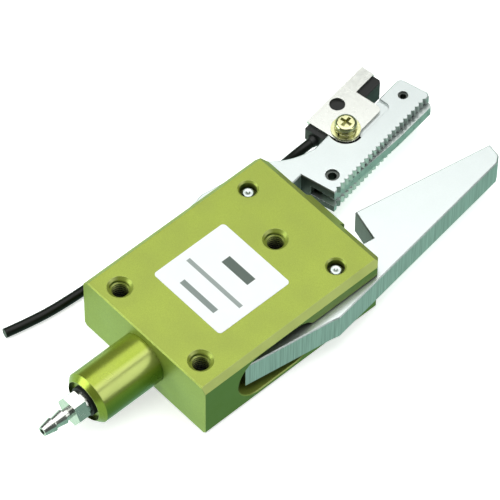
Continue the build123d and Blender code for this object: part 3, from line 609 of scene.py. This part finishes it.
def coil_between(name, start, end, radius, wire, turns, stands_for=None, closed_ends=1.0):
    """A coil from start to end, in place of the node it stands for."""
    axis = (end - start).normalized()
    length = (end - start).length - 2 * wire
    bm = bmesh.new()
    tube(bm, helix_points(start + axis * wire, axis, length, radius - wire, turns, closed_ends), wire, 12)
    coil = finish_piece(mesh_object(name, bm, 60), "spring_steel", None)
    if stands_for:
        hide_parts(stands_for)
    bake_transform(coil)


low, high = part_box("opening_spring")
middle = (low + high) / 2
opening_r = (high.z - low.z) / 2
left_end = Vector((low.x, middle.y, middle.z))
right_end = Vector((high.x, middle.y, middle.z))
coil_between("opening_coil_left", left_end, middle,
             opening_r, OPENING_WIRE, OPENING_TURNS, "opening_spring", 0.5)
coil_between("opening_coil_right", right_end, middle,
             opening_r, OPENING_WIRE, OPENING_TURNS, None, 0.5)

low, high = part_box("return_spring")
middle = (low + high) / 2
piston_end = Vector((middle.x, low.y, middle.z))
housing_end = Vector((middle.x, high.y, middle.z))
coil_between("return_coil", piston_end, housing_end,
             (high.x - low.x) / 2, RETURN_WIRE, RETURN_TURNS, "return_spring")

# the left jaw stands open by this angle at rest
jaw_turn = radians(9.0)
jaw_across = Vector((cos(jaw_turn), sin(jaw_turn), 0))
low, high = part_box("detection_spring")
middle = (low + high) / 2
coil_r = (high.z - low.z) / 2
coil_half = jaw_across * ((high.x - low.x - 2 * coil_r * sin(jaw_turn)) / cos(jaw_turn) / 2)
coil_between("detection_coil", middle - coil_half, middle + coil_half,
             coil_r, DETECTION_WIRE, DETECTION_TURNS, "detection_spring")

# ---------- spring washer: a split ring whose ends stand apart ----------
low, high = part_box("spring_washer")
middle = (low + high) / 2
outer = (high.x - low.x) / 2
inner = 1.62 * MM
half_t = (high.z - low.z) / 2
lift = 0.14 * MM
ring_edge = 0.08 * MM
section = []
for r, z in ((inner, -1), (outer, -1), (outer, 1), (inner, 1)):
    to_centre = 1 if r == inner else -1
    first = (r + to_centre * ring_edge, z)
    second = (r, z - z * ring_edge / half_t)
    section += [first, second] if (z < 0) == (r == outer) else [second, first]
bm = bmesh.new()
rows = []
gap = radians(5)
steps = 90
for i in range(steps + 1):
    angle = -pi / 2 + jaw_turn + gap + (2 * pi - 2 * gap) * i / steps
    rise = lift * (i / steps - 0.5) * 2
    row = []
    for r, z in section:
        height = middle.z + z * (half_t - lift) + rise
        row.append(bm.verts.new((middle.x + r * cos(angle), middle.y + r * sin(angle), height)))
    rows.append(row)
for row, following in zip(rows, rows[1:]):
    for k in range(len(section)):
        bm.faces.new((row[k], row[(k + 1) % len(section)], following[(k + 1) % len(section)], following[k]))
bm.faces.new(rows[0])
bm.faces.new(rows[-1])
bmesh.ops.recalc_face_normals(bm, faces=bm.faces)
finish_piece(mesh_object("spring_washer_ring", bm, 30), "yellow_zinc", "left_lever", "spring_washer")

# ---------- floor and light ----------
bm = bmesh.new()
bmesh.ops.create_grid(bm, x_segments=8, y_segments=8, size=1.6)
floor = mesh_object("floor", bm)
floor.location.z = cad_box[0][2] - 0.00005
pale = Finish("floor_pale", (0.9, 0.9, 0.9), 0.0, 0.9, Specular_IOR_Level=0.1)
pale.shader.inputs["Emission Color"].default_value = (1, 1, 1, 1)
pale.shader.inputs["Emission Strength"].default_value = 0.6
patches = pale.range(pale.noise(60, 2), 0.3, 0.7)
floor.data.materials.append(pale.done(pale.mix(patches, (0.90, 0.90, 0.90), (0.92, 0.92, 0.92))))
floor.visible_diffuse = False
floor.visible_glossy = False

scene.view_settings.view_transform = "Standard"


def soft_light(name, at, aim, width, height, power, colour):
    light = bpy.data.lights.new(name, "AREA")
    light.shape = "RECTANGLE"
    light.size = width
    light.size_y = height
    light.energy = power
    light.color = colour
    holder = bpy.data.objects.new(name, light)
    scene.collection.objects.link(holder)
    holder.location = at
    holder.rotation_euler = (Vector(aim) - Vector(at)).to_track_quat("-Z", "Y").to_euler()


soft_light("overhead", (-0.10, 0.10, 0.75), (0, 0, 0), 0.9, 0.9, 6.1, (1.0, 1.0, 1.0))
soft_light("right_high", (0.55, 0.28, 0.42), (0, 0, 0.01), 0.3, 0.5, 0.9, (0.96, 1.0, 0.98))
soft_light("rear_left", (-0.45, -0.60, 0.28), (0, 0, 0.01), 0.5, 0.4, 3.2, (0.93, 1.0, 0.98))

# the light from below is brighter at the rear left than at the front right, and dim from above
world = bpy.data.worlds.new("studio")
scene.world = world
world.use_nodes = True
sky = world.node_tree
background = sky.nodes["Background"]
direction = sky.nodes.new("ShaderNodeTexCoord").outputs["Generated"]
parts = sky.nodes.new("ShaderNodeSeparateXYZ")
sky.links.new(direction, parts.inputs["Vector"])
toward = sky.nodes.new("ShaderNodeVectorMath")
toward.operation = "DOT_PRODUCT"
toward.inputs[1].default_value = (-0.6, -0.8, 0)
sky.links.new(direction, toward.inputs[0])


def sky_share(value, low, high):
    node = sky.nodes.new("ShaderNodeMapRange")
    node.inputs["From Min"].default_value = low
    node.inputs["From Max"].default_value = high
    sky.links.new(value, node.inputs["Value"])
    return node.outputs["Result"]


def sky_mix(factor, a, b):
    node = sky.nodes.new("ShaderNodeMix")
    node.data_type = "RGBA"
    sky.links.new(factor, node.inputs["Factor"])
    node.inputs[6].default_value = (*a, 1)
    node.inputs[7].default_value = (*b, 1)
    return node


below = sky_mix(sky_share(toward.outputs["Value"], -0.45, 0.45), (0.36, 0.62, 0.50), (0.95, 1.30, 1.05))
whole = sky_mix(sky_share(parts.outputs["Z"], -0.05, 0.05), (0, 0, 0), (0.12, 0.14, 0.13))
sky.links.new(below.outputs[2], whole.inputs[6])
sky.links.new(whole.outputs[2], background.inputs["Color"])
background.inputs["Strength"].default_value = 1.0
